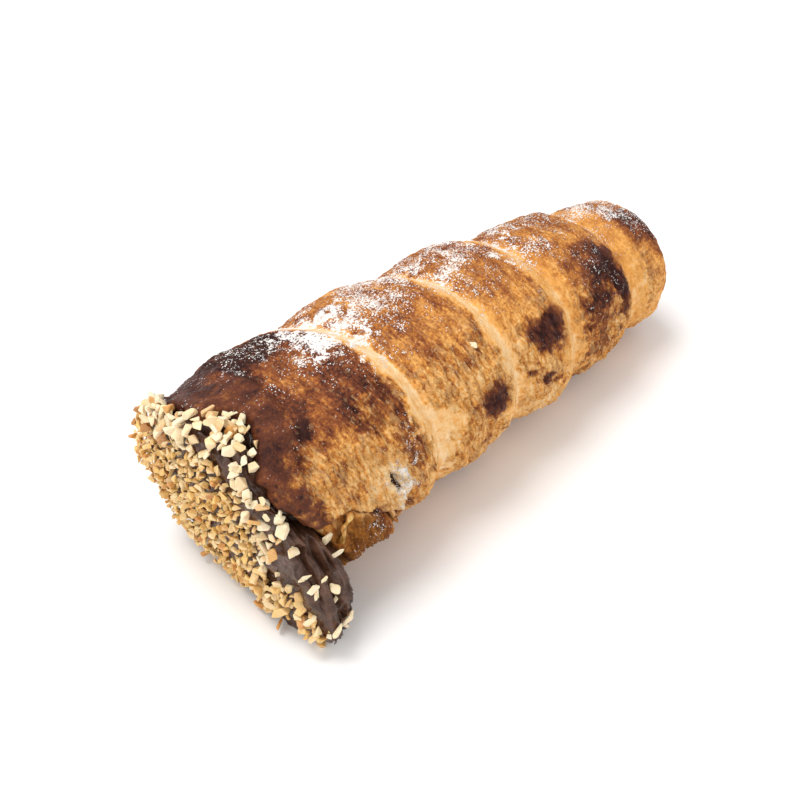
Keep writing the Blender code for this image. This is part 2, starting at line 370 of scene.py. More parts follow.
def dress(tree, shader, **sockets):
    """Sets or links the shader's sockets, named with _ for a space."""
    for key, value in sockets.items():
        plug(tree, shader.inputs[key.replace("_", " ")], value)


def attribute(tree, name):
    return add_node(tree, "ShaderNodeAttribute", {"attribute_name": name}, out=2)


def object_noise(tree, scale, detail=4.0, roughness=0.55, lift=0.0):
    place_on = add_node(tree, "ShaderNodeTexCoord", out=3)
    return add_node(tree, "ShaderNodeTexNoise", {"noise_dimensions": "4D"}, Vector=place_on, W=lift,
                    Scale=scale, Detail=detail, Roughness=roughness)


def bumps(tree, strength, depth, height):
    return add_node(tree, "ShaderNodeBump", Strength=strength, Distance=depth, Height=height)


# %% Meshes and the numbers they carry
def linked(name, data):
    """An object in the scene for a mesh, a camera or a light."""
    ob = bpy.data.objects.new(name, data)
    scene.collection.objects.link(ob)
    return ob


def mesh_of(bm, name):
    """A plain mesh from a mesh under construction, which is given up."""
    mesh = bpy.data.meshes.new(name)
    bm.to_mesh(mesh)
    bm.free()
    return mesh


def carry(mesh, key, values):
    """Keeps a number for every point of a mesh under a name."""
    layer = mesh.attributes.new(key, "FLOAT", "POINT")
    layer.data.foreach_set("value", np.broadcast_to(values, len(mesh.vertices)).astype(np.float32))


def points_of(mesh):
    """The points of a mesh in metres, one in each row."""
    co = np.zeros(len(mesh.vertices) * 3)
    mesh.vertices.foreach_get("co", co)
    return co.reshape(-1, 3)


def triangles(mesh):
    return sum(len(p.vertices) - 2 for p in mesh.polygons)


# %% Geometry trees: their inputs, and how they are run
def tree_with(name, labels):
    """A geometry tree with named inputs: returns it and its input wires."""
    tree = bpy.data.node_groups.new(name, "GeometryNodeTree")
    face = tree.interface
    face.new_socket("Geometry", in_out="INPUT", socket_type="NodeSocketGeometry")
    face.new_socket("Geometry", in_out="OUTPUT", socket_type="NodeSocketGeometry")
    for label in labels:
        kind = "NodeSocketInt" if label == "Seed" else "NodeSocketFloat"
        face.new_socket(label, in_out="INPUT", socket_type=kind)
    given = tree.nodes.new("NodeGroupInput")
    return tree, {s.name: Wire(tree, s) for s in given.outputs if s.name}


def named(tree, name):
    return add_node(tree, "GeometryNodeInputNamedAttribute", {"data_type": "FLOAT"}, Name=name)


def finish_tree(tree, geometry, finish):
    real = add_node(tree, "GeometryNodeRealizeInstances", Geometry=geometry)
    done = add_node(tree, "GeometryNodeSetMaterial", Geometry=real, Material=finish)
    plug(tree, tree.nodes.new("NodeGroupOutput").inputs[0], done)


def run_tree(name, base, tree, values):
    """Runs a tree on an object and returns the result as an object with a plain mesh."""
    modifier = base.modifiers.new("tree", "NODES")
    modifier.node_group = tree
    for item in tree.interface.items_tree:
        if item.in_out == "INPUT" and item.name in values:
            modifier[item.identifier] = values[item.name]
    graph = bpy.context.evaluated_depsgraph_get()
    mesh = bpy.data.meshes.new_from_object(base.evaluated_get(graph))
    base.modifiers.remove(modifier)
    mesh.name = name
    print(name, "triangles", triangles(mesh))
    return linked(name, mesh)


# %% [markdown]
# ## The baked dough
# The crust is one skin over a fine grid of stations and angles. A plain swept tube would lose the torn and
# blistered surface, so each grid point gets its own radius: the rule of the horn first, then lumps, flakes
# and blisters. What happens to each spot in the oven (browned, burnt, pale, sugared) is kept as attributes
# on the same points, because the materials and the sugar need it later.

# %% Grid of the crust
COLUMNS, ROWS, DOME_ROWS = 336, 264, 15
fine = np.linspace(-180, 180, 2401)
weight = np.cumsum(np.where((fine > -66) & (fine < 142), 1.55, 0.9))
angles = np.interp(np.linspace(weight[0], weight[-1], COLUMNS + 1)[:-1], weight, fine)
rim_noise = flat_noise(np.cos(np.radians(angles)) * 6, np.sin(np.radians(angles)) * 6, 0, 5, 3)
rim = rim_station(angles) + 0.55 * rim_noise
body = rim[None, :] + (BODY_LENGTH - rim[None, :]) * np.linspace(0, 1, ROWS)[:, None]
dome_angles = np.radians(np.linspace(4, 86, DOME_ROWS))[:, None]
dome = BODY_LENGTH + TIP_DEPTH * np.sin(dome_angles) + 0 * rim[None, :]
station = np.vstack([body, dome])
angle = np.broadcast_to(angles, station.shape)
theta, arc, ahead, behind = winding(station, angle)
crease_ahead, crease_behind = ahead < FAR - 1, behind < FAR - 1
to_crease = np.minimum(ahead, behind)
skin = place(station, angle, dough_radius(station, angle))
print("crust grid", station.shape)

# %% Dabs: soft spots painted on the crust
around = turn_angle(angle)
warp = lattice_noise(skin / 3.0, 11, 3)
grit = lattice_noise(skin / 1.3, 41, 3)
blotch = lattice_noise(skin / 9.0, 21, 3)


def dabs(spots, soft, rough):
    """The strongest of several soft spots: (station, angle, half length, half width in mm, strength)."""
    total = np.zeros_like(station)
    arm = math.pi / 180 * plain_radius(np.minimum(station, BODY_LENGTH))
    for spot_s, spot_a, half_s, half_w, strength in spots:
        d = np.hypot((station - spot_s) / half_s, turn_angle(angle - spot_a) * arm / half_w)
        dab = strength * smooth((1 - d + rough) / soft + 0.5)
        total = np.where(np.abs(dab) > np.abs(total), dab, total)
    return total


# %% Burnt spots
SPOTS = ((62.2, 79, 4.8, 3.9, 0.88), (83.8, 61, 6.5, 4.6, 0.95), (77.6, 82, 2.4, 0.9, 0.5),
         (81.6, 89, 2.4, 1.3, 0.8), (85.0, 94, 2.2, 0.9, 0.5), (104.5, 36, 5.6, 5.8, 0.52),
         (110.0, 45, 6.6, 7.2, 0.64), (106.0, 59, 5.5, 3.6, 0.62), (113.6, 41, 3.6, 5.6, 0.98),
         (116.0, 58, 2.2, 6.0, 0.90), (116.2, 73, 1.9, 4.4, 0.80), (133.5, 22, 5.0, 6.4, 0.50),
         (138.0, 42, 3.6, 6.0, 0.50), (20.0, -30, 8.0, 5.0, 0.18), (12.8, -14, 2.2, 7.0, 0.55),
         (4.0, -26, 5.0, 6.0, 0.45), (12.4, 38, 3.0, 3.4, 0.26), (5.0, -48, 6.0, 9.0, 0.60),
         (10.0, -34, 4.0, 5.0, 0.50), (6.5, 37, 4.0, 5.0, 0.30))
burn = dabs(SPOTS, 1.25, 0.20 * warp + 0.14 * grit)
print("share burnt", round(float((burn > 0.5).mean()), 3))

# %% The pale stripe beside each crease
topside = smooth((80 - np.abs(turn_angle(angle + 22))) / 80)
seam = (theta - UPPER) / 360.0
near_end = rising(around, 55, 20) * falling(around, 120, 12)
torn_side = 1 + 1.6 * rising(around, 50, 25)
wavering = (0.9 * warp + 0.5 * grit) * torn_side
pale_before = np.interp(seam, (-0.6, 0, 1, 2, 3, 4), (4.0, 5.2, 4.6, 6.6, 4.0, 4.0))
pale_after = np.interp(seam - 1, (-0.6, 0, 1, 2, 3, 4), (0.6, 0.8, 0.8, 1.2, 7.0, 3.0))
pale_after = pale_after + 2.4 * near_end * falling(station, 60, 8)
deep_enough = smooth((crease_depth(theta) - 0.2) / 0.8) * crease_ahead
stripe = smooth((pale_before - ahead + wavering) / 3.0 + 0.5) * deep_enough
after = smooth((pale_after - behind + wavering) / 3.0 + 0.5) * crease_behind
stripe = np.maximum(stripe, after)

# %% The dark lip at the mouth
LIP = ((-120, 4), (-60, 9), (-30, 12), (-10, 13.5), (10, 14), (30, 12.5), (40, 11), (50, 8.0),
       (62, 6.6), (74, 8.0), (86, 10.2))
lip_zone = smooth((read_off(LIP, around) - station + 2.2 * warp + 1.0 * grit) / 4.0 + 0.4)
lip_zone = lip_zone * rising(around, -130, 40) * falling(around, 96, 10)

# %% How brown the rest is
BROWN = ((35.5, 74, 4.0, 6.5, 0.20), (105.0, 92, 8.5, 16.0, 0.27), (20.0, 9, 6.0, 6.5, -0.14),
         (12.6, 37, 2.6, 2.6, 0.26), (20.0, 33, 10.0, 7.0, 0.10), (30.0, 103, 2.4, 2.6, -0.30),
         (29.0, 109, 6.0, 3.0, 0.24), (19.0, 108, 9.0, 6.0, 0.28), (52.0, 22, 8.0, 10.0, 0.09),
         (22.0, -24, 9.0, 8.0, 0.18), (80.0, 30, 7.0, 8.0, 0.06), (54.0, 100, 8.0, 8.0, 0.04),
         (26.0, 20, 9.0, 9.0, 0.05), (29.8, 86, 5.0, 5.5, -0.36), (22.0, 84, 3.0, 9.0, -0.10))
streak = flat_noise(arc / 6.0, ahead / 2.2, 0, 31, 3)
side = rising(around, 30, 45) * falling(around, 170, 40)
toast = 0.405 + 0.13 * topside + 0.035 * topside * rising(station, 36, 8) - 0.125 * side
toast = toast + 0.04 * blotch + 0.06 * streak + dabs(BROWN, 0.9, 0.3 * warp)
front_band = smooth((crease_station(around) - station) / 4)
toast = toast + front_band * (0.20 * smooth((62 - around + 12 * warp) / 30) + 0.06)
toast = toast + 0.06 * rising(station, 127, 5)
pale_level = np.interp(seam, (0, 1, 2, 3, 4), (0.10, 0.13, 0.23, 0.38, 0.36))
pale_level = pale_level - 0.09 * side * smooth(seam - 1.0)
pale_level = pale_level + 0.16 * rising(around, 92, 14) * (seam < 1)
toast = toast * (1 - stripe) + (pale_level + 0.05 * warp) * stripe
toast = toast * (1 - lip_zone) + lip_zone * (0.77 + 0.13 * warp + 0.08 * grit) + 0.54 * burn
underside = smooth((np.abs(around) - 125) / 30)
toast = np.clip(toast + 0.08 * underside, 0.04, 1.1)
at_tip = smooth((station - BODY_LENGTH - 3.5) / 4.5)
toast = toast * (1 - at_tip) + 0.50 * at_tip

# %% Where the dough is amber, flaky or calm
amber = loose_end(station, around, 1.5 * warp, 2.0)[0] * rising(around, 88, 8)
amber = amber * smooth((26.5 - station + 1.5 * warp) / 4)
flaky = smooth((around - 34 + 12 * blotch) / 22) * falling(around, 176, 30)
flaky = np.clip(flaky + 0.3, 0, 1) * (1 - 0.7 * stripe) * (1 - 0.85 * lip_zone)
calm = np.maximum(falling(to_crease, 1.3, 0.5), rising(station, 128, 8))

# %% Icing sugar: where it lies
PATCHES = ((28.0, -8, 5.0, 6.0, 1.0), (31.0, 4, 4.5, 5.0, 1.0), (25.5, 9, 3.0, 3.0, 0.6),
           (34.5, -20, 4.0, 6.0, 1.0), (37.5, 5, 4.2, 7.0, 0.9), (40.5, 21, 2.6, 6.0, 0.55),
           (38.5, -12, 5.0, 6.0, 0.95), (47.0, -10, 5.0, 4.5, 0.7), (51.0, -4, 4.0, 4.0, 0.55),
           (64.5, -8, 2.5, 6.0, 0.6), (66.5, 12, 1.8, 8.0, 0.45), (90.0, -3, 5.0, 4.5, 0.95),
           (84.0, -2, 8.0, 5.0, 0.35), (76.0, 0, 6.0, 8.0, 0.34), (97.0, -16, 5.0, 5.0, 0.7),
           (70.0, -22, 6.0, 5.0, 0.55), (131.0, -3, 3.0, 4.5, 0.7), (134.0, 12, 5.0, 5.0, 0.4),
           (110.0, -20, 8.0, 5.0, 0.4), (55.0, -25, 8.0, 5.0, 0.5), (31.0, 86, 4.4, 4.8, 0.66),
           (20.0, 110, 4.0, 3.0, 0.20), (22.4, 103, 3.0, 2.6, 0.34), (34.0, 68, 3.0, 4.0, 0.3),
           (137.0, -14, 4.0, 6.0, 0.7), (138.5, 8, 2.5, 5.0, 0.5), (108.0, 42, 7.0, 7.0, 0.24))
patch = 0.84 * dabs(PATCHES, 1.35, 0.55 * warp + 0.60 * grit - 0.24)
in_crease = smooth((1.3 - to_crease + 0.4 * grit) / 1.0) * falling(around, 66, 60)
in_crease = 0.42 * in_crease * (0.6 + 0.5 * warp) * falling(around, 52, 30)
dust = topside * (0.28 + 0.30 * lattice_noise(skin / 4.0, 43, 3)) * (1 - 0.5 * lip_zone)
dust = dust * (1 - 0.4 * falling(station, 27, 6))
sugar = np.clip(np.maximum(np.maximum(patch, dust), in_crease), 0, 1)
sugar = sugar * smooth((142 - np.abs(turn_angle(angle + 10))) / 25)
print("share sugared", round(float((sugar > 0.5).mean()), 3))


# %% Lumps, flakes and blisters
def soft_spot(s, a, half_s, half_a):
    """A spot that fades out round a station and an angle."""
    return np.exp(-((station - s) / half_s) ** 2 - (turn_angle(angle - a) / half_a) ** 2)


ridge = 1 - np.abs(flat_noise(arc / 3.0, ahead / 1.25, 9, 61, 3))
coarse = flat_noise(arc / 7.0, ahead / 3.0, 5, 63, 2)
relief = 0.30 * lattice_noise(skin / 7.5, 51, 2) * (1 - 0.5 * stripe)
relief = relief + (0.72 * (ridge - 0.62) + 0.32 * coarse) * flaky * (1 - rising(station, 128, 8))
relief = relief + 0.16 * np.clip(grit, -0.6, 1) * (1 - 0.6 * stripe) * (1 - 0.3 * lip_zone)
relief = relief + 0.30 * np.clip(warp, -0.3, 1) * smooth(burn / 0.6) + 0.10 * smooth(sugar * 2 - 1)
# The slit and the undercut under the torn edge are dents, and the finish also paints shade into both.
slit = soft_spot(28.4 + 0.25 * warp, 84.0, 0.95, 5.4)
torn = soft_spot(29.4, 86.0, 3.2, 9.0)
scraps = soft_spot(29.0, 103.0, 3.0, 7.0)
tear_line = read_off(TEAR, around) + 1.5 * warp
undercut = np.exp(-((station - tear_line - 0.6) / 1.1) ** 2)
undercut = undercut * rising(around, 82, 5) * falling(around, 126, 12)
lip_edge = np.exp(-((station - 11.2) / 1.4) ** 2)
lip_edge = lip_edge * rising(around, -44, 16) * falling(around, 26, 14)
relief = relief - 1.0 * undercut + 0.55 * lip_edge - 2.2 * slit
relief = relief + (0.5 + 1.1 * grit) * torn + 1.2 * grit * scraps
relief = relief * (0.35 + 0.65 * smooth((station - rim[None, :]) / 2.0))
quiet_tip = smooth((BODY_LENGTH + TIP_DEPTH - 0.4 - station) / 4)
ragged = 1.5 * flat_noise(angles / 3.0, 0 * angles, 0, 67, 3)[None, :]
radius = dough_radius(station, angle, ragged, 1.2) + relief * quiet_tip
skin = place(station, angle, radius)
print("relief in mm", round(float(relief.min()), 2), "to", round(float(relief.max()), 2))


# %% A helper that closes rings into a skin
def ring_skin(name, rings, attributes=None):
    """rings: arrays (columns, 3) in mm of equal length, or single points at the ends."""
    verts, starts, faces = [], [], []
    count = 0
    for ring in rings:
        ring = np.atleast_2d(ring)
        starts.append((count, len(ring)))
        count += len(ring)
        verts.append(ring)
    co = (np.vstack(verts) + SHIFT) * MM
    for (a, na), (b, nb) in zip(starts[:-1], starts[1:]):
        n = max(na, nb)
        i = np.arange(n)
        j = (i + 1) % n
        if na == 1:
            faces += [(a, b + p, b + q) for p, q in zip(i.tolist(), j.tolist())]
        elif nb == 1:
            faces += [(a + p, b, a + q) for p, q in zip(i.tolist(), j.tolist())]
        else:
            faces += [(a + p, b + p, b + q, a + q) for p, q in zip(i.tolist(), j.tolist())]
    mesh = bpy.data.meshes.new(name)
    mesh.from_pydata(co.tolist(), [], faces)
    for key, values in (attributes or {}).items():
        carry(mesh, key, values)
    bm = bmesh.new()
    bm.from_mesh(mesh)
    if bm.calc_volume(signed=True) < 0:
        bmesh.ops.reverse_faces(bm, faces=bm.faces)
    bm.to_mesh(mesh)
    bm.free()
    mesh.polygons.foreach_set("use_smooth", [True] * len(mesh.polygons))
    return linked(name, mesh)


# %% [markdown]
# ## The horn by its rule
# The dough is wound on a cone-shaped form, so one tree of Geometry Nodes lays it: the form gives a plain
# radius at each station, and the creases in front and behind press grooves into it. The tree's inputs are
# the sizes of the form and of the groove. Lumps, flakes and the loose end come in as one more attribute.

# %% The tree that winds the horn
def horn_tree(finish):
    """Lays each point of a grid on the horn from its station, its angle and the creases round it."""
    tree, wire = tree_with("wound_horn", (
        "Length", "Tip Depth", "Mouth Radius", "Middle Radius", "Tip Radius", "Groove Depth", "Flank", "Rise",
        "Mouth X", "Axis Y"))
    station, angle = named(tree, "station"), named(tree, "angle")
    t = (station / wire["Length"]).math("MINIMUM", 1.0)
    body = wire["Mouth Radius"] * (1.0 - t) * (1.0 - t * 2.0) + wire["Middle Radius"] * t * 4.0 * (1.0 - t)
    body = body + wire["Tip Radius"] * t * (t * 2.0 - 1.0)
    cap = ((station - wire["Length"]) / wire["Tip Depth"]).clamp()
    round_tip = wire["Tip Radius"] * (1.0 - cap * cap).math("SQRT")
    plain = body + (round_tip - body) * station.math("GREATER_THAN", wire["Length"])
    front = (named(tree, "ahead") / wire["Flank"]).clamp().math("POWER", 0.85)
    front = (front * math.pi).math("COSINE") * 0.5 + 0.5
    back = ((named(tree, "behind") / wire["Rise"]).clamp() * (math.pi / 2)).math("SINE").math("POWER", 0.85)
    pressed = front * named(tree, "front_share") + (1.0 - back) * named(tree, "back_share")
    radius = plain - wire["Groove Depth"] * pressed + named(tree, "relief")
    spot = add_node(tree, "ShaderNodeCombineXYZ", X=station + wire["Mouth X"],
                    Y=wire["Axis Y"] - radius * angle.math("SINE"),
                    Z=(body + radius * angle.math("COSINE")).math("MAXIMUM", 0.0))
    laid = add_node(tree, "GeometryNodeSetPosition", Geometry=wire["Geometry"],
                    Selection=named(tree, "wound").math("GREATER_THAN", 0.5), Position=spot)
    finish_tree(tree, laid, finish)
    return tree


# %% What the tree reads
fade = smooth((BODY_LENGTH + 4 - station) / 14)
front_share = fade * crease_depth(theta) / GROOVE_DEPTH * crease_ahead
back_share = fade * crease_depth(theta - 360) / GROOVE_DEPTH * crease_behind
pressed = front_share * groove(-ahead) + back_share * groove(behind)
lumps = radius - plain_radius(station) + GROOVE_DEPTH * pressed

# %% The rings of the skin: inside of the hollow, edge of the mouth, outside, tip
outer = radius[0]
inner = hollow_radius(rim)
edge_rings = [place(rim - bulge, angles, inner + share * (outer - inner))
              for bulge, share in ((0.0, 0.0), (0.45, 0.25), (0.7, 0.5), (0.45, 0.8))]
hollow_straight = CAVITY_END - CAVITY_ROUND
hollow_stations = [hollow_straight + CAVITY_ROUND * math.sin(math.radians(d)) + 0 * angles for d in (70, 45)]
hollow_stations += [rim + (hollow_straight - rim) * share for share in (1.0, 0.66, 0.33, 0.1)]
hollow_rings = [place(st, angles, hollow_radius(st)) for st in hollow_stations]
hollow_end = np.array([[CAVITY_END, 0, axis_height(CAVITY_END)]])
tip = np.array([[BODY_LENGTH + TIP_DEPTH, 0, axis_height(BODY_LENGTH)]])
rings = [hollow_end] + hollow_rings + edge_rings + list(skin) + [tip]


def carried(values, inside=0.0, on_tip=0.0, on_edge=True):
    """An attribute for every point of the skin: a constant on the inside, then the grid, then the tip."""
    edge = np.tile(values[0], len(edge_rings)) * (1.0 if on_edge else 0.0)
    hidden = np.full(1 + COLUMNS * len(hollow_rings), inside)
    return np.concatenate([hidden, edge, values.ravel(), [on_tip]])


# %% Build the crust
crust_finish, crust_nodes, crust_shader = new_finish("baked_crust")
read_by_tree = {
    "wound": carried(1 + 0 * station, on_edge=False), "station": carried(station * MM),
    "angle": carried(np.radians(angle)), "ahead": carried(ahead * MM), "behind": carried(behind * MM),
    "front_share": carried(front_share), "back_share": carried(back_share), "relief": carried(lumps * MM)}
# The slit value tells the finish where to paint shade: in the slit and in the hollow under the torn edge.
read_by_finish = {
    "toast": carried(toast, 0.3, 0.6), "stripe": carried(stripe), "sugar": carried(sugar, 0.0, 0.1),
    "lip": carried(lip_zone), "flaky": carried(flaky, 0.2, 0.2), "burn": carried(burn, 0.0, 0.2),
    "arc": carried(arc * MM), "across": carried(ahead * MM), "amber": carried(amber),
    "slit": carried(np.maximum(slit, 0.75 * undercut)), "calm": carried(calm, 0.0, 1.0)}
base = ring_skin("dough_base", rings, {**read_by_tree, **read_by_finish})
crust = run_tree("dough_crust", base, horn_tree(crust_finish), {
    "Length": BODY_LENGTH * MM, "Tip Depth": TIP_DEPTH * MM, "Mouth Radius": MOUTH_RADIUS * MM,
    "Middle Radius": MIDDLE_RADIUS * MM, "Tip Radius": TIP_RADIUS * MM, "Groove Depth": GROOVE_DEPTH * MM,
    "Flank": FLANK * MM, "Rise": RISE * MM, "Mouth X": SHIFT[0] * MM, "Axis Y": SHIFT[1] * MM})
moved = max((a.co - b.co).length for a, b in zip(base.data.vertices, crust.data.vertices))
print("largest gap between the tree and the rule in mm", round(moved / MM, 4))
bpy.data.objects.remove(base, do_unlink=True)
for key in read_by_tree:
    crust.data.attributes.remove(crust.data.attributes[key])

# %% [markdown]
# ## The chocolate
# The cream fills the hollow, shows between the rim and the nuts, and has run out over the plate at the lower
# right of the mouth. It is lofted from the hollow outwards by the same rule as the solid, on a finer grid,
# then folded and smeared by noise that is stretched the way the cream flowed.

# %% Shape of the filling
FACE, LEAN, TONGUE_REACH = -1.3, 5.2, 13.6


def face_station(angle, share):
    height = MOUTH_RADIUS * (1 + share * np.cos(np.radians(angle)))
    lean = LEAN * np.clip(1 - height / (2 * MOUTH_RADIUS), 0, 1) ** 1.5
    return FACE + lean - 1.0 * (1 - share ** 2)


def tongue(angle, s):
    a = turn_angle(angle)
    return TONGUE_REACH * rising(a, 78, 47) * falling(a, 170, 34) * falling(s, 13.8, 5.5)


def choc_edge(angle, s):
    a = turn_angle(angle)
    open_side = smooth((rim_station(a) - 0.6) / 2.0) * rising(a, 38, 8)
    return hollow_radius(s) - 0.3 + (WALL - 0.9) * open_side + tongue(a, s)


choc_cols = np.linspace(-180, 180, 300, endpoint=False)
choc_rim = rim_station(choc_cols)
front = face_station(choc_cols, 1.0)
leave = np.maximum(choc_rim - 0.5, front)

# %% Rings inside the hollow
choc_rings = [np.array([[CAVITY_END - 1.2, 0.0, float(axis_height(CAVITY_END))]])]
for d in (72, 48):
    st = hollow_straight - 1 + CAVITY_ROUND * math.sin(math.radians(d)) + 0 * choc_cols
    choc_rings.append(place(st, choc_cols, hollow_radius(st) - 0.5))
for share in (1.0, 0.7, 0.4, 0.15):
    st = choc_rim + 3 + (hollow_straight - 4 - choc_rim) * share
    choc_rings.append(place(st, choc_cols, hollow_radius(st) - 0.3))

# %% Rings from the rim to the front, where the cream ran out in folds
ran_out = rising(choc_cols, 92, 14) * falling(choc_cols, 180, 10)
for f in np.linspace(0, 1, 48):
    st = leave + (front - leave) * f
    full = choc_edge(choc_cols, st)
    swell = np.maximum(smooth((leave - st) / 3.0), ran_out)
    bare = hollow_radius(st) - 0.3
    folds = flat_noise(st / 4.0, choc_cols / 9.0, 0, 81, 3)
    ripple = 1 - np.abs(flat_noise(st / 1.7, choc_cols / 22.0, 3, 82, 3))
    gap = np.exp(-((st - 5.2) / 1.7) ** 2 - ((choc_cols - 77) / 6) ** 2)
    amount = smooth(f * 5) * smooth((choc_rim - front - 1) / 4)
    r = bare + (full - bare) * swell + amount * (0.9 * folds + 2.2 * (ripple - 0.72)) - 2.0 * gap
    choc_rings.append(place(st, choc_cols, r))

# %% Rings across the front
edge = choc_edge(choc_cols, front)
for share in np.linspace(0.985, 0.03, 44):
    st = face_station(choc_cols, share) - 0.9 * falling(share, 1, 0.08)
    r = edge * share
    here = place(st, choc_cols, r)
    st = st - 0.5 * lattice_noise(here / 3.0, 83, 3)
    choc_rings.append(place(st, choc_cols, r))
choc_rings.append(np.array([[float(face_station(0.0, 0.0)) - 0.9, 0.0, MOUTH_RADIUS]]))
chocolate = ring_skin("chocolate_cream", choc_rings)
print("chocolate triangles", triangles(chocolate.data))

# %% [markdown]
# ## The finish of the crust
# Colour in the oven runs from cream through gold and brown to black, so one ramp is read at a browning value:
# the attribute from the mesh, plus fine noise that follows the strip. Burnt spots and the smooth dark lip
# darken it, the pale seam lightens it, and icing sugar covers it in grains. The slit and the hollow under the
# torn edge get painted shade, nearly black.

# %% Crust material
def strewn(tree, scale, vector, out=1, settings=None):
    """Voronoi cells: out 0 is the distance to the middle of the cell, 1 a random colour for each cell."""
    return add_node(tree, "ShaderNodeTexVoronoi", settings, out=out, Vector=vector, Scale=scale)


tree, shader = crust_nodes, crust_shader
burnt, striped = attribute(tree, "burn"), attribute(tree, "stripe")
sugared, lipped, calm_here = attribute(tree, "sugar"), attribute(tree, "lip"), attribute(tree, "calm")
flaked = attribute(tree, "flaky") * (1.0 - calm_here)
along = add_node(tree, "ShaderNodeCombineXYZ", X=attribute(tree, "arc") * 0.42, Y=attribute(tree, "across"))
on_piece = add_node(tree, "ShaderNodeTexCoord", out=3)
strip_noise = add_node(tree, "ShaderNodeTexNoise", Vector=along, Scale=760.0, Detail=7.0, Roughness=0.7)
wide_noise = add_node(tree, "ShaderNodeTexNoise", Vector=along, Scale=330.0, Detail=6.0, Roughness=0.62)
mottle = object_noise(tree, 300.0, 5.0, 0.62, 3.0)
drift = object_noise(tree, 150.0, 3.0, 0.5, 4.0)
strip_noise = strip_noise + (mottle - strip_noise) * calm_here
wisp = (0.5 - (wide_noise - 0.5).math("ABSOLUTE")).step(0.445, 0.49) * flaked
speckle = object_noise(tree, 1500.0, 3.0, 0.65)
flake_edge = strewn(tree, 620.0, along, 0, {"feature": "DISTANCE_TO_EDGE"})
pale_fleck = strewn(tree, 1250.0, along, 0)
browning = attribute(tree, "toast") + (strip_noise - 0.5) * (0.42 + flaked * 0.24)
browning = browning + (mottle - 0.5) * (0.36 + flaked * 0.20)
speckle_depth = 0.92 - flaked * 0.14 - striped * 0.50 - burnt * 0.35 + lipped * 0.55
browning = browning + (speckle - 0.5) * speckle_depth + (drift - 0.5) * 0.34 * flaked
browning = browning + (0.10 - flake_edge.step(0.0, 0.16) * 0.12) * flaked
browning = browning + (pale_fleck - 0.45) * 0.24 * flaked
crust_ramp = add_node(tree, "ShaderNodeValToRGB", {"stops": (
    (0.0, (0.90, 0.67, 0.40)), (0.14, (0.86, 0.54, 0.245)), (0.30, (0.76, 0.36, 0.088)),
    (0.46, (0.50, 0.192, 0.042)), (0.60, (0.295, 0.092, 0.026)), (0.76, (0.155, 0.043, 0.019)),
    (0.90, (0.070, 0.021, 0.012)), (1.0, (0.032, 0.011, 0.009)))}, Fac=browning)
fine_mottle = (mottle * 0.5 + speckle * 0.5).step(0.42, 0.58)
lip_colour = blend_colour(tree, fine_mottle, (0.026, 0.009, 0.010), (0.18, 0.054, 0.026))
cream_fleck = (object_noise(tree, 950.0, 4.0, 0.6, 7.0) + (0.5 - pale_fleck) * 0.25).step(0.56, 0.68)
fleck_here = cream_fleck * flaked * (1.0 - burnt).clamp() * 0.45
colour = blend_colour(tree, fleck_here, crust_ramp, (0.88, 0.60, 0.29))
light_here = (0.60 - attribute(tree, "toast")).step(0.0, 0.16)
colour = blend_colour(tree, wisp * light_here * 0.32, colour, (0.90, 0.60, 0.27))
colour = blend_colour(tree, lipped * 0.50, colour, lip_colour)
pit = strewn(tree, 430.0, on_piece, 0)
charred = (1.0 - (pit + (mottle - 0.5) * 0.5).step(0.10, 0.30)).clamp() * (lipped + burnt * 0.5).clamp()
colour = blend_colour(tree, charred * 0.72, colour, (0.022, 0.008, 0.010))
colour = blend_colour(tree, burnt.step(0.2, 1.0) * 0.45, colour, (0.050, 0.014, 0.013))
amber_colour = blend_colour(tree, (strip_noise * 0.5 + speckle * 0.5).step(0.40, 0.62),
                            (0.075, 0.020, 0.004), (0.44, 0.16, 0.018))
colour = blend_colour(tree, attribute(tree, "amber") * 0.8, colour, amber_colour)
cell = add_node(tree, "ShaderNodeSeparateColor", Color=strewn(tree, 3000.0, on_piece))
middle = strewn(tree, 3000.0, on_piece, 0)
powder = (sugared * 1.12 + (mottle - 0.5) * 0.9 - cell).step(0.0, 0.10)
powder = powder * (sugared * 0.75 + 0.40 - middle).step(0.0, 0.14)
colour = blend_colour(tree, powder * 0.92, colour, (0.92, 0.87, 0.83))
# Painted shade: the slit and the hollow under the torn edge are painted nearly black.
colour = blend_colour(tree, attribute(tree, "slit").step(0.35, 0.8), colour, (0.05, 0.016, 0.006))
dullness = (0.66 - lipped * 0.20 - burnt * 0.16 + powder * 0.25 + (mottle - 0.5) * 0.25).clamp()
height = strip_noise * (0.35 + flaked * 0.35) + mottle * 0.35 + speckle * (0.32 + lipped * 0.40)
height = height + powder * 0.30 + flake_edge.step(0.0, 0.2) * 0.22 * flaked + wisp * 0.22
dress(tree, shader, Base_Color=colour, Roughness=dullness, Normal=bumps(tree, 0.85, 0.0009, height),
      Specular_IOR_Level=0.10)
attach(crust, "root")
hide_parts("dough_horn")
print("crust finish has", len(tree.nodes), "nodes")

# %% [markdown]
# ## The finish of the chocolate
# Whipped chocolate cream is smooth where it settled and dull where it was pulled. One smeared noise moves the
# colour, the shine and the bump together, so that the dull streaks are also the paler ones.

# %% Chocolate material
choc_finish, tree, shader = new_finish("chocolate_cream")
smear = object_noise(tree, 300.0, 5.0, 0.65, 1.0)
dull = object_noise(tree, 800.0, 3.0, 0.5, 2.0)
colour = blend_colour(tree, smear.step(0.38, 0.70), (0.048, 0.019, 0.010), (0.135, 0.063, 0.038))
dress(tree, shader, Base_Color=colour, Roughness=(0.21 + (smear - 0.5) * 0.5 + (dull - 0.5) * 0.2).clamp(),
      Normal=bumps(tree, 0.7, 0.0008, smear * 0.7 + dull * 0.3), Specular_IOR_Level=0.36)
chocolate.data.materials.append(choc_finish)
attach(chocolate, "root")
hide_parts("chocolate_filling")

